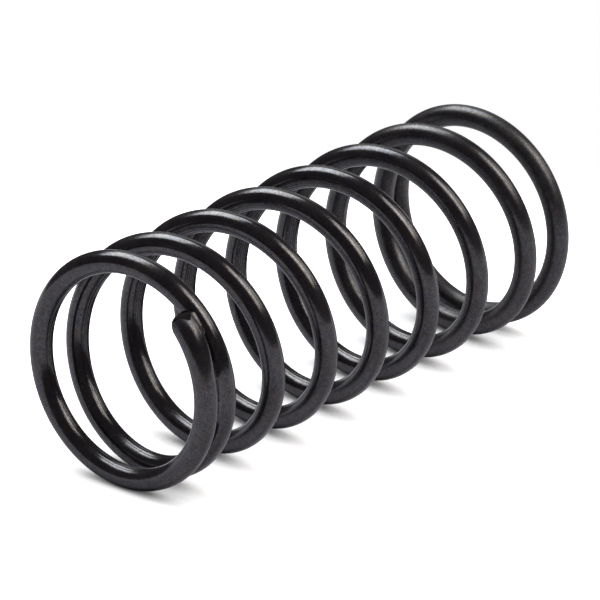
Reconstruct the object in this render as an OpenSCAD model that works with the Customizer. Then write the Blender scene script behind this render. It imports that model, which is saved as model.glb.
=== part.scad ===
// Helical compression spring of round wire, wound right-hand.
// Both ends are closed but not ground, and the wire is simply sheared off at each tip.
// It stands on its lower end with its axis along +Z, and the origin is on the axis at the lowest point.

/* [Wire] */
// Diameter of the round wire
wire_d = 2.0; // [1.2:0.1:2.6]

/* [Coils] */
// Mean diameter of the coils, from wire centre to wire centre
coil_d = 19.4; // [16:0.1:28]
// Free height over both closed ends
free_h = 54.6; // [42:0.1:80]
// Turns of wire from tip to tip
turns = 8.69; // [6:0.01:10]
// Direction of the lower tip, anticlockwise from +X as seen from above
lower_tip_angle = 339; // [0:1:359]

/* [Closed ends] */
// Turns at the lower end that lie nearly flat
lower_flat = 0.84; // [0.5:0.01:1.2]
// Turns over which the lower end opens out to the full pitch
lower_ramp = 0.33; // [0.2:0.01:1.2]
// Turns at the upper end that lie nearly flat
upper_flat = 0.52; // [0.5:0.01:1.2]
// Turns over which the upper end opens out to the full pitch
upper_ramp = 1.08; // [0.2:0.01:1.2]
// Air gap left between the lower closed turn and the turn above it
lower_gap = 0.15; // [0.05:0.01:0.4]
// Air gap left between the upper closed turn and the turn below it
upper_gap = 0.1; // [0.05:0.01:0.4]
// How far the closed turns have sprung outwards of the others, on the radius
end_spread = 0.08; // [0:0.01:0.2]

/* [Sprung upper tip] */
// Turns at the upper end that have sprung away from the turn below
tip_turns = 0.42; // [0.2:0.01:0.5]
// How far the upper tip has sprung up
tip_lift = 0.47; // [0:0.01:0.8]
// How far the upper tip has sprung outwards, on the radius
tip_spread = 0.42; // [0:0.01:0.8]

/* [Sheared tips] */
// How much further back the outside of the wire is cut than the inside
shear_lean = 0.5; // [0:0.05:0.8]
// Radius of the edge that the cutter rolled over, all round the cut
shear_round = 0.15; // [0.05:0.05:0.4]

/* [Smoothness] */
// Sides of the wire's section
wire_sides = 16; // [8:2:18]
// Sections of the wire in each turn
sections_per_turn = 36; // [16:2:40]

/* [Hidden] */

black_oxide = "#1c1c1e";
wire_r = wire_d / 2;
coil_r = coil_d / 2;

// Wire length in one turn, which turns a distance along the wire into a part of a turn
turn_length = PI * coil_d;

// Sections that shape each rolled edge, from the full wire to the flat of the cut
edge_steps = 3;
// The last full section stands this far behind the tip, where neither lean nor rolled edge reaches
tip_zone = shear_lean + 2 * shear_round;

// Turns of full pitch that an end does without, counted t turns in from its tip
function deficit(t, flat, ramp) =
    t < flat ? t
    : t < flat + ramp ? t - pow(t - flat, 2) / (2 * ramp)
    : flat + ramp / 2;

// One turn in from its tip, each end has risen by one wire and its gap
lower_closed = wire_d + lower_gap;
upper_closed = wire_d + upper_gap;
lower_share = deficit(turns, lower_flat, lower_ramp) / deficit(1, lower_flat, lower_ramp);
upper_share = deficit(turns, upper_flat, upper_ramp) / deficit(1, upper_flat, upper_ramp);

// Full pitch that brings the turns between the closed ends to the free height
closed_rise = lower_closed * lower_share + upper_closed * upper_share;
pitch = (free_h - wire_d - tip_lift - closed_rise) / (turns - lower_share - upper_share);
// By how much the slope of each flat stays below the full pitch
lower_drop = (pitch - lower_closed) / deficit(1, lower_flat, lower_ramp);
upper_drop = (pitch - upper_closed) / deficit(1, upper_flat, upper_ramp);

// How far along its spring the upper end is at turn t: 0 where it begins and 1 at the tip
function sprung(t) = pow(max(0, 1 - (turns - t) / tip_turns), 1.5);

// Height of the wire's centre at turn t, above the wire's centre at the lower tip
function rise(t) =
    pitch * t
    - lower_drop * deficit(t, lower_flat, lower_ramp)
    - upper_drop * (deficit(turns, upper_flat, upper_ramp)
        - deficit(turns - t, upper_flat, upper_ramp))
    + tip_lift * sprung(t);

// 1 on the flat of an end, falling to 0 where the full pitch begins
function closure(t, flat, ramp) = 1 - max(0, min(1, (t - flat) / ramp));

// Mean radius of the coil at turn t
function radius(t) =
    coil_r + end_spread * max(closure(t, lower_flat, lower_ramp),
                              closure(turns - t, upper_flat, upper_ramp))
    + tip_spread * sprung(t);

// Angle of the wire above the horizontal at turn t
slope_step = 0.005;
function slope(t) =
    atan((rise(t + slope_step) - rise(t - slope_step)) / (2 * slope_step * turn_length));

// Point on the wire at turn t, out from the wire's centre at angle b from the outward side
function on_wire(t, b, out) =
    let (
        turn_angle = lower_tip_angle + 360 * t,
        lean = slope(t),
        across = radius(t) + out * cos(b),
        up = out * sin(b)
    )
    [
        across * cos(turn_angle) + up * sin(lean) * sin(turn_angle),
        across * sin(turn_angle) - up * sin(lean) * cos(turn_angle),
        wire_r + rise(t) + up * cos(lean)
    ];

// One full section of the wire at turn t
function section(t) =
    [for (side = [0:wire_sides - 1]) on_wire(t, 360 * side / wire_sides, wire_r)];

// How far the cut stands back from the tip at angle b: nothing inside, the full lean outside
function cut_back(b) = shear_lean * (1 + cos(b)) / 2;

// One section of the rolled edge, step 0 being the full wire and the last step the flat of the cut
function edge_section(tip, inward, step) =
    let (
        sweep = 90 * step / edge_steps,
        inset = shear_round * (1 - cos(sweep)),
        behind = shear_round * (1 - sin(sweep))
    )
    [
        for (side = [0:wire_sides - 1])
            let (b = 360 * side / wire_sides)
            on_wire(tip + inward * (cut_back(b) + behind) / turn_length, b, wire_r - inset)
    ];

// Middle of the flat of the cut
function cut_middle(tip, inward) =
    on_wire(tip + inward * shear_lean / 2 / turn_length, 0, 0);

// Sections from the lower tip to the upper tip
body_start = tip_zone / turn_length;
body_turns = turns - 2 * body_start;
body_steps = ceil(body_turns * sections_per_turn);
sections = concat(
    [for (step = [edge_steps:-1:0]) edge_section(0, 1, step)],
    [for (i = [0:body_steps]) section(body_start + body_turns * i / body_steps)],
    [for (step = [0:edge_steps]) edge_section(turns, -1, step)]
);

// Skin between neighbouring sections, and a fan over each cut
function skin(count) = [
    for (i = [0:count - 2], side = [0:wire_sides - 1])
        let (
            next = (side + 1) % wire_sides,
            a = i * wire_sides + side,
            b = i * wire_sides + next
        )
        each [
            [a, b, b + wire_sides],
            [a, b + wire_sides, a + wire_sides]
        ]
];
function fan(first, middle, flip) = [
    for (side = [0:wire_sides - 1])
        let (
            a = first + side,
            b = first + (side + 1) % wire_sides
        )
        flip ? [middle, b, a] : [middle, a, b]
];

// The whole spring is one length of wire
module spring() {
    count = len(sections);
    last = (count - 1) * wire_sides;
    points = concat(
        [for (ring = sections) each ring],
        [cut_middle(0, 1), cut_middle(turns, -1)]
    );
    lower_middle = count * wire_sides;
    color(black_oxide)
        polyhedron(
            points = points,
            faces = concat(
                skin(count),
                fan(0, lower_middle, true),
                fan(last, lower_middle + 1, false)
            ),
            convexity = 20
        );
}

spring();
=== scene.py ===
"""A black helical compression spring, dressed for the camera.

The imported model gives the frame: the spring stands on its lower closed end with its axis along +Z.
The photograph shows it lying on a white table, which here is the plane that touches the coils on
their +Y side. So the camera, the lamps and the table are set out in the lying spring's own
directions (along the coil, across it and up from the table) and turned into the frame's axes.
Lengths are in millimetres until they are handed to Blender, which works in metres.
"""

from __future__ import annotations

import logging
import math
from collections.abc import Mapping
from dataclasses import dataclass
from enum import Enum
from typing import Any

import bpy
import numpy as np
from bpy.types import Material, Mesh, Node, NodeSocket, NodeTree, Object, World
from mathutils import Matrix, Vector
from numpy import ndarray

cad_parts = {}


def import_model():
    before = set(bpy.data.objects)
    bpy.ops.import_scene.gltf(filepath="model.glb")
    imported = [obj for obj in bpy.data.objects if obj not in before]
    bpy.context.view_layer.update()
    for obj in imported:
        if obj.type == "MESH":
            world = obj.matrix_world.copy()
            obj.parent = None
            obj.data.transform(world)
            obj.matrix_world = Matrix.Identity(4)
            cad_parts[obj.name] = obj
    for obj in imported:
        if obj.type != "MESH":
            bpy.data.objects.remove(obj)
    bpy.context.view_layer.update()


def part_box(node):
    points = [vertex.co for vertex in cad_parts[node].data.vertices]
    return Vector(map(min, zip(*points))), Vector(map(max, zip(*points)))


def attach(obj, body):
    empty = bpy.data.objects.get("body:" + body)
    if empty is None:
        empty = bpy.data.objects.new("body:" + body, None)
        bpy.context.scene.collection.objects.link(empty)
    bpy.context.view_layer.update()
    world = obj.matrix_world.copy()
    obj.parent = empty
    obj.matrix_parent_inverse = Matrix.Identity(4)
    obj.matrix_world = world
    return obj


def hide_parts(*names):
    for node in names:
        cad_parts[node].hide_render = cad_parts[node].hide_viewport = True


LOG = logging.getLogger("spring")

MM = 0.001

# The lying spring's directions in the frame's axes.
TABLE_UP = Vector((0.0, -1.0, 0.0))
ALONG_COIL = Vector((0.0, 0.0, -1.0))
ACROSS_COIL = Vector((1.0, 0.0, 0.0))

# What the wire's mesh tells its finishes: the place on the straightened wire, and how scuffed.
STRAIGHT_WIRE = "straight_wire"
SCUFFED = "scuffed"

# Nearly all values of a noise pattern lie between these two.
NOISE_SPAN = {"From Min": 0.3, "From Max": 0.7}

# Sockets of a Mix node's colours: the two that go in, and the one that comes out.
FIRST, SECOND, MIXED = 6, 7, 2


def linear(hex_colour: str) -> tuple[float, float, float, float]:
    """Turn an sRGB hex colour into linear light.

    Args:
        hex_colour: Colour as "#rrggbb".

    Returns:
        Red, green, blue and an alpha of 1.
    """
    channels = []
    for start in (1, 3, 5):
        value = int(hex_colour[start:start + 2], 16) / 255
        channels.append(value / 12.92 if value <= 0.04045 else ((value + 0.055) / 1.055) ** 2.4)
    return channels[0], channels[1], channels[2], 1.0


def add_node(
    tree: NodeTree, kind: str, inputs: Mapping[str | int, Any] | None = None, **settings: Any
) -> Node:
    """Add a node with its settings and its links.

    Args:
        tree: Node tree that takes the node.
        kind: Blender's name of the node type.
        inputs: Input socket, by name or number, to a value or to the output socket that feeds it.
        settings: Properties of the node itself.

    Returns:
        The new node.
    """
    node = tree.nodes.new(kind)
    for name, value in settings.items():
        setattr(node, name, value)
    for socket, value in (inputs or {}).items():
        if isinstance(value, NodeSocket):
            tree.links.new(value, node.inputs[socket])
        else:
            node.inputs[socket].default_value = value
    return node


def new_material(name: str) -> tuple[Material, NodeTree]:
    """Make an empty node material.

    Args:
        name: Name of the material.

    Returns:
        The material and its tree.
    """
    material = bpy.data.materials.new(name)
    material.use_nodes = True
    material.node_tree.nodes.clear()
    return material, material.node_tree


def degrees_from(angle: ndarray, centre_deg: float) -> ndarray:
    """Degrees from a centre to angles in radians, the short way round."""
    return (np.degrees(angle) - centre_deg + 180) % 360 - 180


def bell(away: ndarray, half_width: float) -> ndarray:
    """Height of a smooth hump, 1 in its middle and about a third at its half width."""
    return np.exp(-((away / half_width) ** 2))


class TipSide(Enum):
    """Which end of the wire a tip is at, as the direction from the tip into the wire."""

    LOWER = 1
    UPPER = -1


@dataclass(frozen=True)
class ClosedEnd:
    """One closed end of the coil: nearly flat turns, then a ramp up to the full pitch."""

    flat_turns: float
    ramp_turns: float
    gap_mm: float

    def deficit(self, turns_in: ndarray | float) -> ndarray:
        """Count the turns of full pitch that the end does without.

        Args:
            turns_in: Turns in from the end's tip.

        Returns:
            Turns of full pitch that are missing up to there.
        """
        t = np.asarray(turns_in, dtype=float)
        ramping = t - (t - self.flat_turns) ** 2 / (2 * self.ramp_turns)
        opened = self.flat_turns + self.ramp_turns / 2
        inner = np.where(t < self.flat_turns + self.ramp_turns, ramping, opened)
        return np.where(t < self.flat_turns, t, inner)

    def closure(self, turns_in: ndarray) -> ndarray:
        """1 on the flat of the end, falling to 0 where the full pitch begins."""
        return 1 - np.clip((turns_in - self.flat_turns) / self.ramp_turns, 0, 1)


@dataclass(frozen=True)
class CoilShape:
    """The helix that the wire follows, with the sizes of the part's source."""

    wire_d: float = 2.0
    coil_d: float = 19.4
    free_h: float = 54.6
    turns: float = 8.69
    lower_tip_deg: float = 339.0
    end_spread: float = 0.08
    tip_turns: float = 0.42
    tip_lift: float = 0.47
    tip_spread: float = 0.42
    tip_power: float = 1.5
    lower: ClosedEnd = ClosedEnd(flat_turns=0.84, ramp_turns=0.33, gap_mm=0.15)
    upper: ClosedEnd = ClosedEnd(flat_turns=0.52, ramp_turns=1.08, gap_mm=0.10)
    slope_step: float = 0.005

    @property
    def wire_r(self) -> float:
        """Radius of the wire."""
        return self.wire_d / 2

    @property
    def turn_length(self) -> float:
        """Length of wire in one turn."""
        return math.pi * self.coil_d

    @property
    def pitch(self) -> float:
        """Full pitch, which brings the turns between the closed ends to the free height."""
        rise_left, turns_left = self.free_h - self.wire_d - self.tip_lift, self.turns
        for end in (self.lower, self.upper):
            share = float(end.deficit(self.turns) / end.deficit(1.0))
            rise_left -= (self.wire_d + end.gap_mm) * share
            turns_left -= share
        return rise_left / turns_left

    def slope_drop(self, end: ClosedEnd) -> float:
        """By how much the slope of an end's flat stays below the full pitch."""
        return (self.pitch - self.wire_d - end.gap_mm) / float(end.deficit(1.0))

    def sprung(self, t: ndarray) -> ndarray:
        """How far along its spring the upper end is: 0 where it begins and 1 at the tip."""
        return np.maximum(0, 1 - (self.turns - t) / self.tip_turns) ** self.tip_power

    def rise(self, t: ndarray) -> ndarray:
        """Work out how high the wire's centre is.

        Args:
            t: Turns from the lower tip.

        Returns:
            Heights above the wire's centre at the lower tip.
        """
        upper_part = self.upper.deficit(self.turns) - self.upper.deficit(self.turns - t)
        return (
            self.pitch * t
            - self.slope_drop(self.lower) * self.lower.deficit(t)
            - self.slope_drop(self.upper) * upper_part
            + self.tip_lift * self.sprung(t)
        )

    def radius(self, t: ndarray) -> ndarray:
        """Mean radius of the coil at turn t."""
        closure = np.maximum(self.lower.closure(t), self.upper.closure(self.turns - t))
        return self.coil_d / 2 + self.end_spread * closure + self.tip_spread * self.sprung(t)

    def on_wire(self, t: ndarray, angle: ndarray, out: ndarray | float) -> ndarray:
        """Place points on or in the wire.

        Args:
            t: Turns from the lower tip.
            angle: Angle round the wire in radians, 0 on the outside of the coil and a quarter
                turn on its upper side.
            out: Distance from the wire's centre.

        Returns:
            Points in millimetres, with a last axis of 3.
        """
        turn_angle = math.radians(self.lower_tip_deg) + 2 * math.pi * t
        climb = self.rise(t + self.slope_step) - self.rise(t - self.slope_step)
        lean = np.arctan(climb / (2 * self.slope_step * self.turn_length))
        across = self.radius(t) + out * np.cos(angle)
        up = out * np.sin(angle)
        return np.stack(
            [
                across * np.cos(turn_angle) + up * np.sin(lean) * np.sin(turn_angle),
                across * np.sin(turn_angle) - up * np.sin(lean) * np.cos(turn_angle),
                self.wire_r + self.rise(t) + up * np.cos(lean),
            ],
            axis=-1,
        )


@dataclass(frozen=True)
class OilNeck:
    """Oil that hangs in the crevice between the upper closed turn and the turn below it.

    Its hollow surface touches both wires and mirrors the table, where a bare crevice is black.
    """

    start_turns: float = 0.088
    end_turns: float = 0.166
    taper_turns: float = 0.012
    hollow_mm: float = 0.9

    def share(self, turns_in: ndarray) -> ndarray:
        """How far the neck is filled at these turns in from the tip, from 0 to 1."""
        inside = np.minimum(turns_in - self.start_turns, self.end_turns - turns_in)
        return np.clip(0.5 + inside / self.taper_turns, 0, 1)

    def fill(
        self, shape: CoilShape, wire_r: float, t: ndarray, angle: ndarray, out: ndarray
    ) -> tuple[ndarray, ndarray]:
        """Move the wire's surface out to the neck, from both turns to the middle between them.

        Args:
            shape: The helix.
            wire_r: Radius of the wire with its skin.
            t: Turns of the surface's points.
            angle: Their angles round the wire.
            out: Their distances from its centre.

        Returns:
            The new angles and distances.
        """
        for step in (-1, 1):
            share = self.share(shape.turns - np.maximum(t, t + step))
            aside = shape.radius(t + step) - shape.radius(t)
            above = shape.rise(t + step) - shape.rise(t)
            half, towards = np.hypot(aside, above) / 2, np.arctan2(above, aside)
            # The round of the hollow touches both wires, with its middle level with the gap's.
            reach = wire_r + self.hollow_mm
            open_enough = (share > 0) & (half < reach)
            half = np.where(open_enough, half, 0.0)
            height = np.sqrt(reach**2 - half**2)
            away = (angle - towards + math.pi) % (2 * math.pi) - math.pi
            touch = np.arctan2(height, half)
            moved = open_enough & (np.abs(away) < touch)
            sweep = np.arctan2(half, height) * np.clip(np.abs(away) / touch, 0, 1)
            near = half - self.hollow_mm * np.sin(sweep)
            up = height - self.hollow_mm * np.cos(sweep)
            # Where the neck is part filled, the surface lies between the hollow and the bare wire.
            near = share * near + (1 - share) * out * np.cos(away)
            up = share * up + (1 - share) * out * np.abs(np.sin(away))
            up = np.where(away < 0, -up, up)
            angle = np.where(moved, towards + np.arctan2(up, near), angle)
            out = np.where(moved, np.hypot(near, up), out)
        return angle, out


@dataclass(frozen=True)
class CutMark:
    """A local hollow that the cutter left in the rim of the cut.

    It is centred at an angle round the wire, where 0 is the outside of the coil and 90 the side
    that faces away from the next turn.
    """

    centre_deg: float
    half_width_deg: float
    depth_mm: float
    inward_power: float

    def depth(self, angle: ndarray, reach: ndarray | float) -> ndarray:
        """Work out how deep the hollow is.

        Args:
            angle: Angles round the wire in radians.
            reach: Share of the wire's radius, 1 at the rim.

        Returns:
            Depths in millimetres.
        """
        across = bell(degrees_from(angle, self.centre_deg), self.half_width_deg)
        return self.depth_mm * across * np.asarray(reach) ** self.inward_power


@dataclass(frozen=True)
class SqueezedLip:
    """Metal that the cutter squeezed out of the wire's flank: a smooth lip that ends in lumps."""

    # The flank is swollen, and where the lip was drawn from it a share of that is missing.
    swell_deg: float = -43.0
    swell_half_deg: float = 50.0
    swell_mm: float = 0.32
    swell_length_mm: float = 5.6
    drawn_share: float = 0.65
    drawn_mm: float = 1.6
    # The lip grows from its root and leans towards the outside of the coil.
    root_deg: float = -58.0
    root_half_deg: float = 20.0
    root_steepness: float = 1.5
    towards_deg: float = -22.0
    reach_mm: float = 0.45
    length_mm: float = 2.6
    fade_power: float = 0.6
    # Each lump has its distance behind the very tip and its height.
    lumps_deg: float = -48.0
    lumps_half_deg: float = 18.0
    lumps_mm: tuple[tuple[float, float], ...] = ((1.95, 0.04), (2.4, 0.13))
    lump_length_mm: float = 0.17

    def push(self, angle: ndarray, out: ndarray | float, back: ndarray) -> tuple[ndarray, ndarray]:
        """Push the corners of a section out to the lip.

        Args:
            angle: Angle round the wire in radians.
            out: Distance from the wire's centre.
            back: Distance behind the very tip, in millimetres.

        Returns:
            The new angles and distances.
        """
        swell = self.swell_mm * np.clip(1 - (back / self.swell_length_mm) ** 2, 0, 1)
        swell = swell * (1 - self.drawn_share * bell(back, self.drawn_mm))
        swell = swell * bell(degrees_from(angle, self.swell_deg), self.swell_half_deg)
        round_lumps = bell(degrees_from(angle, self.lumps_deg), self.lumps_half_deg)
        for place, height in self.lumps_mm:
            swell = swell + height * bell(back - place, self.lump_length_mm) * round_lumps
        from_root = np.abs(degrees_from(angle, self.root_deg)) / self.root_half_deg
        share = np.clip(self.root_steepness * (1 - from_root), 0, 1)
        fading = np.clip(1 - back / self.length_mm, 0, 1) ** self.fade_power
        reach = share * self.reach_mm * fading
        side, flank = math.radians(self.towards_deg), math.radians(self.swell_deg)
        outward = out * np.cos(angle) + reach * math.cos(side) + swell * math.cos(flank)
        upward = out * np.sin(angle) + reach * math.sin(side) + swell * math.sin(flank)
        return np.arctan2(upward, outward), np.hypot(upward, outward)


@dataclass(frozen=True)
class ShearedTip:
    """The cut end of the wire: a leaning shear face with a rolled rim, hollows and a burr.

    The rim is rolled most where the cutter left the wire, which makes a round shoulder there, and
    the skin beside the cut is scuffed.
    """

    # The cut leans back by this much towards this angle, and is trimmed all over by this much.
    lean_mm: float = 0.20
    lean_deg: float = 30.0
    trim_mm: float = 0.15
    round_mm: float = 0.12
    round_outside_mm: float = 0.16
    marks: tuple[CutMark, ...] = (
        CutMark(centre_deg=4, half_width_deg=30, depth_mm=0.72, inward_power=1.4),
        CutMark(centre_deg=50, half_width_deg=30, depth_mm=0.12, inward_power=1.4),
        CutMark(centre_deg=-60, half_width_deg=26, depth_mm=0.48, inward_power=2.0),
        CutMark(centre_deg=137, half_width_deg=42, depth_mm=0.46, inward_power=2.0),
        CutMark(centre_deg=-152, half_width_deg=44, depth_mm=0.38, inward_power=1.5),
    )
    shoulder: CutMark = CutMark(centre_deg=142, half_width_deg=52, depth_mm=0.54, inward_power=0.0)
    burr: CutMark = CutMark(centre_deg=-140, half_width_deg=30, depth_mm=0.03, inward_power=6.0)
    lip: SqueezedLip = SqueezedLip()
    tear_mm: float = 0.05
    scuffed_mm: float = 1.9
    # Rings of the rim, rings of the face by their share of its radius, and the reach of the cut.
    rim_steps: int = 8
    face_reach: tuple[float, ...] = (0.94, 0.86, 0.74, 0.6, 0.45, 0.3, 0.15)
    zone_mm: float = 6.0

    def cut_back(self, angle: ndarray, reach: ndarray | float) -> ndarray:
        """Work out how far the cut stands back from the very tip.

        Args:
            angle: Angles round the wire in radians.
            reach: Share of the wire's radius, 1 at the rim.

        Returns:
            Distances in millimetres.
        """
        leaning = np.cos(angle - math.radians(self.lean_deg))
        back = self.trim_mm + self.lean_mm * (1 + reach * leaning) / 2
        for mark in self.marks:
            back = back + mark.depth(angle, reach)
        return back - self.burr.depth(angle, reach)

    def rim_radius(self, angle: ndarray) -> ndarray:
        """Work out the radius of the rolled rim, which is largest at the shoulder.

        Args:
            angle: Angles round the wire in radians.

        Returns:
            Radii in millimetres.
        """
        outside = ((1 + np.cos(angle)) / 2) ** 2
        rolled = self.round_mm + (self.round_outside_mm - self.round_mm) * outside
        return rolled + self.shoulder.depth(angle, 1.0)


@dataclass(frozen=True)
class BlackOxide:
    """Drawn spring steel blackened in a hot oxide bath and oiled.

    The thin skin of black iron oxide hides the steel's own colour and, with the oil on it, mirrors
    the lamps softly over a nearly black body. Its IOR lies between that of the oil, about 1.5, and
    that of the oxide, about 2.3. The oxide's own crystals are finer than a pixel of the picture,
    so the mottling and the grain are drawn as coarse as they need to be to show.
    """

    body: str = "#131114"
    worn: str = "#1f1c1a"
    rust: str = "#4a3626"
    ior: float = 1.8
    # The bath leaves slow patches of a browner, duller black.
    patch_mm: float = 2.4
    patch_edge: tuple[float, float] = (0.42, 0.68)
    # Single specks of rust, far apart: some cells of this size hold one, faded at its edge.
    rust_mm: float = 1.3
    rust_share: float = 0.22
    rust_edge: tuple[float, float] = (0.10, 0.03)
    # Each layer of mottling has its size and its swing of the specular level.
    specular: float = 0.5
    sheen_mm: tuple[tuple[float, float], ...] = ((0.10, 0.64), (0.42, 0.26))
    tint_mm: float = 0.5
    tint_edge: tuple[float, float] = (0.35, 0.65)
    cool: str = "#e6eeff"
    warm: str = "#fff3e4"
    # The skin is dullest beside the cuts, and grows duller over the wire towards the lower end.
    roughness: float = 0.15
    roughness_swing: float = 0.08
    scuffed_roughness: float = 0.42
    lower_roughness: float = 0.22
    lower_mm: float = 200.0
    # Relief: the skin's soft orange peel, the die's marks along the wire, and the oxide's grain.
    peel_mm: float = 0.45
    peel_height_mm: float = 0.0040
    mark_length_mm: float = 2.6
    mark_width_mm: float = 0.16
    mark_height_mm: float = 0.0016
    grain_mm: float = 0.11
    grain_height_mm: float = 0.0016

    def colour(self, tree: NodeTree, wire_place: NodeSocket, patches: NodeSocket) -> NodeSocket:
        """Colour the oxide, its browner patches and its specks of rust.

        Args:
            tree: The material's tree.
            wire_place: Place on the straightened wire.
            patches: Pattern of the bath's patches.

        Returns:
            The skin's colour.
        """
        start, end = self.patch_edge
        worn = add_node(
            tree, "ShaderNodeMapRange", {"Value": patches, "From Min": start, "From Max": end}
        )
        body = add_node(
            tree,
            "ShaderNodeMix",
            {0: worn.outputs["Result"], FIRST: linear(self.body), SECOND: linear(self.worn)},
            data_type="RGBA",
        )
        scale = 1 / (self.rust_mm * MM)
        specks = add_node(tree, "ShaderNodeTexVoronoi", {"Vector": wire_place, "Scale": scale})
        start, end = self.rust_edge
        near_speck = add_node(
            tree,
            "ShaderNodeMapRange",
            {"Value": specks.outputs["Distance"], "From Min": start, "From Max": end},
        )
        chosen = add_node(
            tree,
            "ShaderNodeMath",
            {0: specks.outputs["Color"], 1: self.rust_share},
            operation="LESS_THAN",
        )
        rusty = add_node(
            tree,
            "ShaderNodeMath",
            {0: near_speck.outputs["Result"], 1: chosen.outputs[0]},
            operation="MULTIPLY",
        )
        return add_node(
            tree,
            "ShaderNodeMix",
            {0: rusty.outputs[0], FIRST: body.outputs[MIXED], SECOND: linear(self.rust)},
            data_type="RGBA",
        ).outputs[MIXED]

    def reflectance(self, tree: NodeTree, wire_place: NodeSocket) -> tuple[NodeSocket, NodeSocket]:
        """Vary how strongly and in what tint the skin mirrors, for its fine mottling.

        Args:
            tree: The material's tree.
            wire_place: Place on the straightened wire.

        Returns:
            Specular level and specular tint.
        """
        level: NodeSocket | float = self.specular
        for size_mm, size_swing in self.sheen_mm:
            scale = 1 / (size_mm * MM)
            mottle = add_node(
                tree,
                "ShaderNodeTexNoise",
                {"Vector": wire_place, "Scale": scale, "Detail": 3.0, "Roughness": 0.7},
            )
            swing = add_node(
                tree,
                "ShaderNodeMapRange",
                {
                    "Value": mottle.outputs["Fac"],
                    **NOISE_SPAN,
                    "To Min": -size_swing / 2,
                    "To Max": size_swing / 2,
                },
            )
            level = add_node(
                tree, "ShaderNodeMath", {0: level, 1: swing.outputs["Result"]}, operation="ADD"
            ).outputs[0]
        scale = 1 / (self.tint_mm * MM)
        tinted = add_node(
            tree,
            "ShaderNodeTexNoise",
            {"Vector": wire_place, "Scale": scale, "Detail": 4.0, "Roughness": 0.7},
        )
        start, end = self.tint_edge
        share = add_node(
            tree,
            "ShaderNodeMapRange",
            {"Value": tinted.outputs["Fac"], "From Min": start, "From Max": end},
        )
        tint = add_node(
            tree,
            "ShaderNodeMix",
            {0: share.outputs["Result"], FIRST: linear(self.cool), SECOND: linear(self.warm)},
            data_type="RGBA",
        )
        return level, tint.outputs[MIXED]

    def dullness(self, tree: NodeTree, wire_place: NodeSocket, patches: NodeSocket) -> NodeSocket:
        """Add up what dulls the skin: the bath's patches, the lower end and the cutter.

        Args:
            tree: The material's tree.
            wire_place: Place on the straightened wire.
            patches: Pattern of the bath's patches.

        Returns:
            The skin's roughness.
        """
        patched = add_node(
            tree,
            "ShaderNodeMapRange",
            {
                "Value": patches,
                **NOISE_SPAN,
                "To Min": self.roughness,
                "To Max": self.roughness + self.roughness_swing,
            },
        )
        along = add_node(tree, "ShaderNodeSeparateXYZ", {"Vector": wire_place})
        lower = add_node(
            tree,
            "ShaderNodeMapRange",
            {
                "Value": along.outputs["X"],
                "From Max": self.lower_mm * MM,
                "To Min": self.lower_roughness,
                "To Max": 0.0,
            },
        )
        unscuffed = add_node(
            tree,
            "ShaderNodeMath",
            {0: patched.outputs["Result"], 1: lower.outputs["Result"]},
            operation="ADD",
        )
        scuffed = add_node(tree, "ShaderNodeAttribute", attribute_name=SCUFFED)
        return add_node(
            tree,
            "ShaderNodeMath",
            {0: scuffed.outputs["Fac"], 1: self.scuffed_roughness, 2: unscuffed.outputs[0]},
            operation="MULTIPLY_ADD",
        ).outputs[0]

    def relief(self, tree: NodeTree, wire_place: NodeSocket) -> NodeSocket:
        """Layer the orange peel, the drawing marks and the grain on each other.

        Args:
            tree: The material's tree.
            wire_place: Place on the straightened wire.

        Returns:
            The skin's normal.
        """
        width_scale = 1 / (self.mark_width_mm * MM)
        stretched = add_node(
            tree,
            "ShaderNodeVectorMath",
            {0: wire_place, 1: (1 / (self.mark_length_mm * MM), width_scale, width_scale)},
            operation="MULTIPLY",
        ).outputs[0]
        # Place, scale, detail and roughness of each pattern, and its height.
        layers = (
            (wire_place, 1 / (self.peel_mm * MM), 2.0, 0.5, self.peel_height_mm),
            (stretched, 1.0, 3.0, 0.6, self.mark_height_mm),
            (wire_place, 1 / (self.grain_mm * MM), 2.0, 0.5, self.grain_height_mm),
        )
        below: dict[str | int, Any] = {}
        for place, scale, detail, roughness, height_mm in layers:
            pattern = add_node(
                tree,
                "ShaderNodeTexNoise",
                {"Vector": place, "Scale": scale, "Detail": detail, "Roughness": roughness},
            )
            bump = add_node(
                tree,
                "ShaderNodeBump",
                {"Height": pattern.outputs["Fac"], "Distance": height_mm * MM, **below},
            )
            below = {"Normal": bump.outputs["Normal"]}
        return below["Normal"]

    def material(self) -> Material:
        """Build the finish of the wire's skin.

        Returns:
            The skin's material.
        """
        material, tree = new_material("black_oxide_wire")
        straight = add_node(tree, "ShaderNodeAttribute", attribute_name=STRAIGHT_WIRE)
        wire_place = straight.outputs["Vector"]
        scale = 1 / (self.patch_mm * MM)
        patches = add_node(
            tree,
            "ShaderNodeTexNoise",
            {"Vector": wire_place, "Scale": scale, "Detail": 4.0, "Roughness": 0.6},
        ).outputs["Fac"]
        level, tint = self.reflectance(tree, wire_place)
        shader = add_node(
            tree,
            "ShaderNodeBsdfPrincipled",
            {
                "Base Color": self.colour(tree, wire_place, patches),
                "Roughness": self.dullness(tree, wire_place, patches),
                "Normal": self.relief(tree, wire_place),
                "IOR": self.ior,
                "Specular IOR Level": level,
                "Specular Tint": tint,
                "Metallic": 0.0,
            },
        )
        add_node(tree, "ShaderNodeOutputMaterial", {"Surface": shader.outputs["BSDF"]})
        return material


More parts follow.
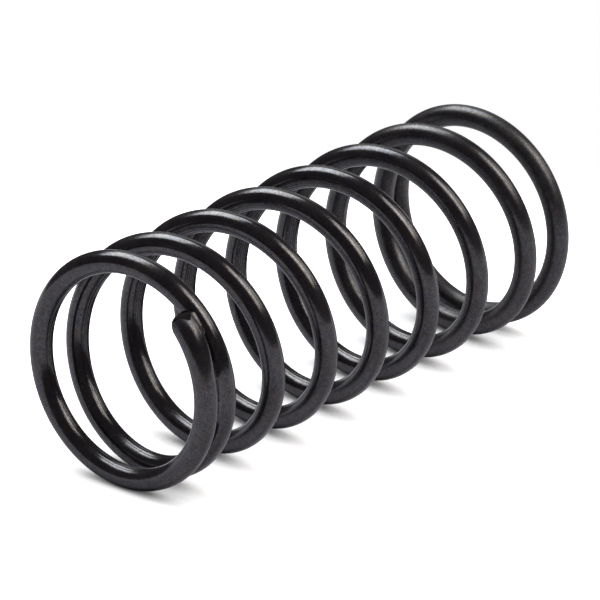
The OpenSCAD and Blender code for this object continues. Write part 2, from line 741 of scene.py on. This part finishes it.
@dataclass(frozen=True)
class ShearedSteel:
    """The face that the cutter tears, blackened in the same bath as the skin.

    The torn steel is rough, so the face stays dull and nearly black where the skin beside it
    carries a streak of light.
    """

    body: str = "#060505"
    torn: str = "#120d0b"
    ior: float = 1.4
    specular: float = 0.12
    roughness: float = 0.7
    tear_mm: float = 0.16
    tear_height_mm: float = 0.03

    def material(self) -> Material:
        """Build the finish of the sheared faces.

        Returns:
            The faces' material.
        """
        material, tree = new_material("sheared_steel")
        place = add_node(tree, "ShaderNodeTexCoord").outputs["Object"]
        tear = add_node(
            tree,
            "ShaderNodeTexNoise",
            {"Vector": place, "Scale": 1 / (self.tear_mm * MM), "Detail": 4.0, "Roughness": 0.6},
        )
        colour = add_node(
            tree,
            "ShaderNodeMix",
            {0: tear.outputs["Fac"], FIRST: linear(self.body), SECOND: linear(self.torn)},
            data_type="RGBA",
        )
        height = self.tear_height_mm * MM
        bump = add_node(tree, "ShaderNodeBump", {"Height": tear.outputs["Fac"], "Distance": height})
        shader = add_node(
            tree,
            "ShaderNodeBsdfPrincipled",
            {
                "Base Color": colour.outputs[MIXED],
                "Roughness": self.roughness,
                "Normal": bump.outputs["Normal"],
                "IOR": self.ior,
                "Specular IOR Level": self.specular,
            },
        )
        add_node(tree, "ShaderNodeOutputMaterial", {"Surface": shader.outputs["BSDF"]})
        return material


@dataclass(frozen=True)
class SpringWire:
    """The spring's one piece: its wire, swept finely along the same helix as the solid."""

    shape: CoilShape = CoilShape()
    tip: ShearedTip = ShearedTip()
    skin: BlackOxide = BlackOxide()
    cut: ShearedSteel = ShearedSteel()
    neck: OilNeck = OilNeck()
    sides: int = 60
    rings_per_turn: int = 140
    zone_rings: int = 64
    plump_mm: float = 0.03
    seed: int = 7

    @property
    def skin_r(self) -> float:
        """Radius of the wire with its skin of oxide and oil."""
        return self.shape.wire_r + self.plump_mm

    def angles(self) -> ndarray:
        """Angles of the section's corners round the wire."""
        return np.linspace(0, 2 * math.pi, self.sides, endpoint=False)

    def tip_rings(self, side: TipSide) -> tuple[ndarray, ndarray, ndarray, int]:
        """Work out the rings that shape one sheared tip, from the face's middle into the wire.

        Args:
            side: Which end of the wire.

        Returns:
            For each ring the turns of its corners, their angles round the wire and their distance
            from its centre, and the number of rings that lie on the face.
        """
        angle = self.angles()
        # The marks are named for the upper tip; the lower tip is the same cut turned over.
        seen = angle if side is TipSide.UPPER else -angle
        start = 0.0 if side is TipSide.LOWER else self.shape.turns
        rim, skin_r = self.tip.rim_radius(seen), self.skin_r
        tear = np.random.default_rng(self.seed).normal(0, 1, (len(self.tip.face_reach), self.sides))
        backs, outs = [], []
        for row, reach in enumerate(reversed(self.tip.face_reach)):
            rough = self.tip.tear_mm * tear[row] * reach * (1 - reach)
            backs.append(self.tip.cut_back(seen, reach) + rough)
            outs.append(skin_r * reach * (1 - rim / skin_r * reach))
        face_rings = len(backs)
        for step in range(self.tip.rim_steps, -1, -1):
            sweep = math.pi / 2 * step / self.tip.rim_steps
            backs.append(self.tip.cut_back(seen, 1.0) + rim * (1 - math.sin(sweep)))
            outs.append(skin_r - rim * (1 - math.cos(sweep)))
        last = backs[-1]
        for step in range(1, self.zone_rings + 1):
            backs.append(last + (self.tip.zone_mm - last) * step / self.zone_rings)
            outs.append(np.full(self.sides, skin_r))
        back, out = np.array(backs), np.array(outs)
        pushed, out = self.tip.lip.push(np.broadcast_to(seen, back.shape), out, back)
        turns = start + side.value * back / self.shape.turn_length
        return turns, pushed if side is TipSide.UPPER else -pushed, out, face_rings

    def rings(self) -> tuple[ndarray, ndarray, ndarray, int]:
        """Lay out every ring of the sweep from the lower tip to the upper tip.

        Returns:
            Turns, angles round the wire and distances from its centre, as arrays of rings by
            sides, and the number of rings on each face.
        """
        low_turns, low_angles, low_outs, face_rings = self.tip_rings(TipSide.LOWER)
        up_turns, up_angles, up_outs, _ = self.tip_rings(TipSide.UPPER)
        start = self.tip.zone_mm / self.shape.turn_length
        end = self.shape.turns - start
        count = math.ceil((end - start) * self.rings_per_turn)
        body = np.linspace(start, end, count + 1)[1:-1, None] * np.ones(self.sides)
        turns = np.concatenate([low_turns, body, up_turns[::-1]])
        angles = np.concatenate([low_angles, body * 0 + self.angles(), up_angles[::-1]])
        outs = np.concatenate([low_outs, body * 0 + self.skin_r, up_outs[::-1]])
        angles, outs = self.neck.fill(self.shape, self.skin_r, turns, angles, outs)
        return turns, angles, outs, face_rings

    def faces(self, count: int) -> list[Any]:
        """Join each ring to the next with quads, and close each cut with a fan.

        Args:
            count: Number of rings.

        Returns:
            Corner numbers of the quads, ring by ring, then of the lower and the upper fan.
        """
        sides = self.sides
        ring = np.arange(count - 1)[:, None] * sides
        here, beside = np.arange(sides), (np.arange(sides) + 1) % sides
        quads = np.stack(
            [ring + here, ring + sides + here, ring + sides + beside, ring + beside], axis=-1
        ).reshape(-1, 4)
        low_middle, up_middle, last = count * sides, count * sides + 1, (count - 1) * sides
        low_fan = [(low_middle, int(a), int(b)) for a, b in zip(here, beside)]
        up_fan = [(up_middle, int(last + b), int(last + a)) for a, b in zip(here, beside)]
        return quads.tolist() + low_fan + up_fan

    def mesh(self) -> Mesh:
        """Sweep the wire and close its two cut faces.

        Returns:
            The mesh, with what its finishes read and each face's finish.
        """
        turns, angle, outs, face_rings = self.rings()
        points = self.shape.on_wire(turns, angle, outs)
        straight = np.stack(
            [turns * self.shape.turn_length, outs * np.cos(angle), outs * np.sin(angle)], axis=-1
        )
        ends = [turns[row].mean() for row in (0, -1)]
        middles = [self.shape.on_wire(end, np.array(0.0), 0.0) for end in ends]
        straight_middles = [(end * self.shape.turn_length, 0, 0) for end in ends]
        vertices = np.concatenate([points.reshape(-1, 3), np.array(middles)]) * MM
        places = np.concatenate([straight.reshape(-1, 3), np.array(straight_middles)]) * MM
        mesh = bpy.data.meshes.new("spring_wire")
        mesh.from_pydata(vertices.tolist(), [], self.faces(len(turns)))
        mesh.attributes.new(STRAIGHT_WIRE, "FLOAT_VECTOR", "POINT")
        mesh.attributes[STRAIGHT_WIRE].data.foreach_set("vector", places.ravel())
        behind = np.minimum(turns, self.shape.turns - turns) * self.shape.turn_length
        scuffed = np.clip(1 - behind / self.tip.scuffed_mm, 0, 1).ravel()
        mesh.attributes.new(SCUFFED, "FLOAT", "POINT")
        mesh.attributes[SCUFFED].data.foreach_set("value", np.append(scuffed, (1.0, 1.0)))
        # The torn faces and nearly all of their rims take the second finish.
        finishes = np.zeros(len(turns) - 1, dtype=int)
        torn_rings = face_rings + self.tip.rim_steps - 1
        finishes[:torn_rings] = finishes[-torn_rings:] = 1
        fans = np.ones(2 * self.sides, dtype=int)
        slots = np.concatenate([np.repeat(finishes, self.sides), fans])
        mesh.polygons.foreach_set("material_index", slots)
        mesh.shade_smooth()
        mesh.validate()
        mesh.update()
        return mesh

    def build(self) -> Object:
        """Make the piece, dress it and put it in the solid's place.

        Returns:
            The piece.
        """
        mesh = self.mesh()
        piece = bpy.data.objects.new("spring_wire", mesh)
        bpy.context.scene.collection.objects.link(piece)
        mesh.materials.append(self.skin.material())
        mesh.materials.append(self.cut.material())
        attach(piece, "root")
        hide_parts("spring")
        LOG.info("%s: %d faces, %.1f mm high", piece.name, len(mesh.polygons), self.shape.free_h)
        return piece


@dataclass(frozen=True)
class TableView:
    """Where the photograph was taken from, in the lying spring's directions."""

    swing_deg: float = 38.99
    dip_deg: float = 21.37
    distance_mm: float = 481.5
    aim_mm: tuple[float, float, float] = (-1.385, -0.11, 29.72)
    lens_mm: float = 321.2
    sensor_mm: float = 36.0
    clip_mm: tuple[float, float] = (10.0, 20000.0)

    @property
    def level_forward(self) -> Vector:
        """Level direction from the camera over the table."""
        swing = math.radians(self.swing_deg)
        return math.cos(swing) * ALONG_COIL + math.sin(swing) * ACROSS_COIL

    @property
    def right(self) -> Vector:
        """Direction to the right of the picture."""
        return self.level_forward.cross(TABLE_UP)

    def direction(self, bearing_deg: float, height_deg: float) -> Vector:
        """Turn a bearing over the table into a direction of the frame.

        Args:
            bearing_deg: 0 towards the camera, 90 to the right of the picture, 180 away.
            height_deg: Angle above the table.

        Returns:
            Unit vector from the spring.
        """
        bearing, height = math.radians(bearing_deg), math.radians(height_deg)
        level = math.sin(bearing) * self.right - math.cos(bearing) * self.level_forward
        return math.cos(height) * level + math.sin(height) * TABLE_UP

    def turned(self, place: Vector, back: Vector) -> Matrix:
        """Stand something at a place, with its top away from the table.

        Args:
            place: Where it stands.
            back: Direction from what it looks at to it.

        Returns:
            Its matrix.
        """
        side = TABLE_UP.cross(back).normalized()
        top = back.cross(side)
        axes = Matrix((side, top, back)).transposed().to_4x4()
        return Matrix.Translation(place) @ axes

    def build(self) -> Object:
        """Make the camera at the photograph's viewing angle.

        Returns:
            The camera.
        """
        data = bpy.data.cameras.new("camera")
        data.lens, data.sensor_width = self.lens_mm, self.sensor_mm
        data.clip_start, data.clip_end = (clip * MM for clip in self.clip_mm)
        camera = bpy.data.objects.new("camera", data)
        bpy.context.scene.collection.objects.link(camera)
        back = self.direction(0.0, self.dip_deg)
        place = (Vector(self.aim_mm) + back * self.distance_mm) * MM
        camera.matrix_world = self.turned(place, back)
        bpy.context.scene.camera = camera
        LOG.info("camera: %.0f mm lens at %.0f mm", self.lens_mm, self.distance_mm)
        return camera


@dataclass(frozen=True)
class SoftBox:
    """A soft box of the studio, as the spring sees it."""

    name: str
    bearing_deg: float
    height_deg: float
    width_mm: float
    depth_mm: float
    brightness: float
    colour: str
    distance_mm: float = 1100.0

    def build(self, view: TableView, centre_mm: Vector) -> Object:
        """Hang the soft box so that it faces the spring.

        Args:
            view: Bearings are counted from this view.
            centre_mm: Middle of the spring.

        Returns:
            The lamp.
        """
        data = bpy.data.lights.new(self.name, "AREA")
        data.shape = "RECTANGLE"
        data.size, data.size_y = self.width_mm * MM, self.depth_mm * MM
        # A face that shows this brightness gives off pi times as much for each square metre.
        data.energy = self.brightness * math.pi * data.size * data.size_y
        data.color = linear(self.colour)[:3]
        lamp = bpy.data.objects.new(self.name, data)
        bpy.context.scene.collection.objects.link(lamp)
        back = view.direction(self.bearing_deg, self.height_deg)
        lamp.matrix_world = view.turned((centre_mm + back * self.distance_mm) * MM, back)
        lamp.visible_camera = False
        LOG.info("%s: %.2f W", self.name, data.energy)
        return lamp


@dataclass(frozen=True)
class Studio:
    """White table, white surroundings for the eye and a dark room for the wire to mirror."""

    table_side_mm: float = 340.0
    table_back_mm: float = 55.0
    # The paper's white by lamplight, and its glow for the eye, dimmed as painted shade where the
    # wire lies close over it.
    table_lit: float = 0.64
    table_glow: float = 1.65
    painted_shade_mm: float = 30.0
    painted_shade_power: float = 1.5
    painted_shade_samples: int = 8
    # How light the paper is in the wire's mirror, and where behind the spring it gets lighter.
    table_mirrored: str = "#d2d0d9"
    lighter_start_mm: float = 10.0
    lighter_end_mm: float = 90.0
    # Where the paper runs out into plain white for the eye.
    fade_start_mm: float = 42.0
    fade_end_mm: float = 70.0
    room: str = "#4e494f"
    room_mirrored: str = "#524d53"
    # Name, bearing, height, width, depth, brightness, colour and, where it is near, distance.
    boxes: tuple[SoftBox, ...] = (
        SoftBox("box_back_left", -137.0, 56.0, 840.0, 720.0, 5.25, "#f8fcff"),
        SoftBox("lamp_back_left", -136.0, 55.0, 430.0, 380.0, 1.7, "#ffffff", 1090.0),
        SoftBox("box_right", 70.5, 50.0, 400.0, 500.0, 4.0, "#fffaf4", 700.0),
        SoftBox("lamp_right", 69.0, 50.0, 150.0, 190.0, 2.3, "#ffffff", 690.0),
        SoftBox("box_far_right", 108.0, 33.0, 270.0, 280.0, 2.0, "#fff9f2", 700.0),
        SoftBox("sweep_back_right", 154.0, 4.0, 740.0, 400.0, 0.36, "#ffffff"),
        SoftBox("sweep_back", 178.0, 28.0, 560.0, 460.0, 0.55, "#ffffff"),
    )

    def paper(self, tree: NodeTree, rays: Node) -> NodeSocket:
        """Make the white paper that keeps the spring's shadow, cast by the lamps and painted under
        the wire.

        For the eye most of its white is a glow, dimmed as painted shade where the wire lies close
        over it.

        Args:
            tree: The material's tree.
            rays: What kind of ray sees the paper.

        Returns:
            The paper's shader.
        """
        lit = (self.table_lit, self.table_lit, self.table_lit, 1.0)
        whiteness = add_node(
            tree,
            "ShaderNodeMix",
            {0: rays.outputs["Is Camera Ray"], FIRST: linear(self.table_mirrored), SECOND: lit},
            data_type="RGBA",
        )
        diffuse = add_node(tree, "ShaderNodeBsdfDiffuse", {"Color": whiteness.outputs[MIXED]})
        # Painted shade: the glow dims by ambient occlusion where the wire lies close over the paper.
        painted_shade_ao = add_node(
            tree,
            "ShaderNodeAmbientOcclusion",
            {"Distance": self.painted_shade_mm * MM},
            samples=self.painted_shade_samples,
        )
        opened = add_node(
            tree,
            "ShaderNodeMath",
            {0: painted_shade_ao.outputs["AO"], 1: self.painted_shade_power},
            operation="POWER",
        )
        painted_shade_glow = add_node(
            tree, "ShaderNodeMath", {0: opened.outputs[0], 1: self.table_glow}, operation="MULTIPLY"
        )
        seen = add_node(
            tree,
            "ShaderNodeMath",
            {0: rays.outputs["Is Camera Ray"], 1: painted_shade_glow.outputs[0]},
            operation="MULTIPLY",
        )
        glow = add_node(tree, "ShaderNodeEmission", {"Strength": seen.outputs[0]})
        return add_node(
            tree, "ShaderNodeAddShader", {0: diffuse.outputs[0], 1: glow.outputs[0]}
        ).outputs[0]

    def white_share(
        self, tree: NodeTree, rays: Node, offset: NodeSocket, forward: Vector
    ) -> NodeSocket:
        """Work out where the paper is plain white.

        Away from the shadows it runs out into plain white for the eye, and it is white through
        something clear. The wire mirrors that white too, in the paper behind it; the paper before
        it is dimmer.

        Args:
            tree: The material's tree.
            rays: What kind of ray sees the paper.
            offset: Way from the point under the middle of the spring.
            forward: Level direction away from the camera.

        Returns:
            Share of plain white, from 0 to 1.
        """
        away = add_node(tree, "ShaderNodeVectorMath", {0: offset}, operation="LENGTH")
        behind = add_node(
            tree, "ShaderNodeVectorMath", {0: offset, 1: tuple(forward)}, operation="DOT_PRODUCT"
        )
        shares = []
        for ray, distance, start, end in (
            ("Is Camera Ray", away, self.fade_start_mm, self.fade_end_mm),
            ("Is Glossy Ray", behind, self.lighter_start_mm, self.lighter_end_mm),
        ):
            fade = add_node(
                tree,
                "ShaderNodeMapRange",
                {"Value": distance.outputs["Value"], "From Min": start * MM, "From Max": end * MM},
                interpolation_type="SMOOTHSTEP",
            )
            share = add_node(
                tree,
                "ShaderNodeMath",
                {0: rays.outputs[ray], 1: fade.outputs["Result"]},
                operation="MULTIPLY",
            )
            shares.append(share.outputs[0])
        seen, mirrored = shares
        clearly = add_node(
            tree,
            "ShaderNodeMath",
            {0: seen, 1: rays.outputs["Is Transmission Ray"]},
            operation="MAXIMUM",
        )
        return add_node(
            tree, "ShaderNodeMath", {0: clearly.outputs[0], 1: mirrored}, operation="MAXIMUM"
        ).outputs[0]

    def table_material(self, foot_mm: Vector, forward: Vector) -> Material:
        """Build the white paper, which keeps the shadows and is seen from above only.

        Args:
            foot_mm: Point of the table under the middle of the spring.
            forward: Level direction away from the camera.

        Returns:
            The table's material.
        """
        material, tree = new_material("white_table")
        rays = add_node(tree, "ShaderNodeLightPath")
        surface = add_node(tree, "ShaderNodeNewGeometry")
        offset = add_node(
            tree,
            "ShaderNodeVectorMath",
            {0: surface.outputs["Position"], 1: tuple(foot_mm * MM)},
            operation="SUBTRACT",
        ).outputs[0]
        share = self.white_share(tree, rays, offset, forward)
        white = add_node(tree, "ShaderNodeEmission", {"Strength": 1.0})
        top = add_node(
            tree, "ShaderNodeMixShader", {0: share, 1: self.paper(tree, rays), 2: white.outputs[0]}
        )
        clear = add_node(tree, "ShaderNodeBsdfTransparent")
        sided = add_node(
            tree,
            "ShaderNodeMixShader",
            {0: surface.outputs["Backfacing"], 1: top.outputs[0], 2: clear.outputs[0]},
        )
        add_node(tree, "ShaderNodeOutputMaterial", {"Surface": sided.outputs[0]})
        return material

    def build_table(self, view: TableView, centre_mm: Vector, touch_mm: float) -> Object:
        """Lay the table along the side of the coil, more of it behind the spring than before it.

        Args:
            view: The photograph's view.
            centre_mm: Middle of the spring.
            touch_mm: How far the coil reaches towards the table.

        Returns:
            The table.
        """
        half = self.table_side_mm / 2 * MM
        foot = Vector((centre_mm.x, touch_mm, centre_mm.z))
        middle = (foot + view.level_forward * self.table_back_mm) * MM
        corners = [
            middle + view.right * x * half + view.level_forward * z * half
            for x, z in ((-1, -1), (-1, 1), (1, 1), (1, -1))
        ]
        mesh = bpy.data.meshes.new("table")
        mesh.from_pydata([tuple(corner) for corner in corners], [], [(0, 1, 2, 3)])
        mesh.update()
        if mesh.polygons[0].normal.dot(TABLE_UP) < 0:
            mesh.flip_normals()
        table = bpy.data.objects.new("table", mesh)
        bpy.context.scene.collection.objects.link(table)
        mesh.materials.append(self.table_material(foot, view.level_forward))
        LOG.info("table: touches the coil at y = %.2f mm", touch_mm)
        return table

    def build_world(self) -> World:
        """Light up the surroundings.

        The eye sees plain white, straight or through something clear. The photograph's wire
        mirrors a dark room with its lamps instead of that white, so glossy rays find the room.

        Returns:
            The world.
        """
        world = bpy.data.worlds.new("studio")
        bpy.context.scene.world = world
        world.use_nodes = True
        tree = world.node_tree
        tree.nodes.clear()
        rays = add_node(tree, "ShaderNodeLightPath")
        room = add_node(tree, "ShaderNodeBackground", {"Color": linear(self.room)})
        mirrored = add_node(tree, "ShaderNodeBackground", {"Color": linear(self.room_mirrored)})
        white = add_node(tree, "ShaderNodeBackground", {"Color": (1, 1, 1, 1), "Strength": 1.0})
        seen = add_node(
            tree,
            "ShaderNodeMath",
            {0: rays.outputs["Is Camera Ray"], 1: rays.outputs["Is Transmission Ray"]},
            operation="MAXIMUM",
        )
        unseen = add_node(
            tree,
            "ShaderNodeMixShader",
            {0: rays.outputs["Is Glossy Ray"], 1: room.outputs[0], 2: mirrored.outputs[0]},
        )
        mixed = add_node(
            tree,
            "ShaderNodeMixShader",
            {0: seen.outputs[0], 1: unseen.outputs[0], 2: white.outputs[0]},
        )
        add_node(tree, "ShaderNodeOutputWorld", {"Surface": mixed.outputs[0]})
        return world

    def build(self, view: TableView, low: Vector, high: Vector) -> None:
        """Set up the table, the room and the soft boxes.

        Args:
            view: The photograph's view.
            low: Lowest corner of the spring, in metres.
            high: Highest corner of the spring, in metres.
        """
        centre_mm = (low + high) / 2 / MM
        self.build_table(view, centre_mm, high.y / MM)
        self.build_world()
        for box in self.boxes:
            box.build(view, centre_mm)


def main() -> None:
    """Load the frame, then build the camera, the spring and the studio round it."""
    logging.basicConfig(level=logging.INFO, format="%(name)s: %(message)s")
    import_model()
    bpy.context.scene.view_settings.view_transform = "Standard"
    view = TableView()
    view.build()
    low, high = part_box("spring")
    SpringWire().build()
    Studio().build(view, Vector(low), Vector(high))


if __name__ == "__main__":
    main()
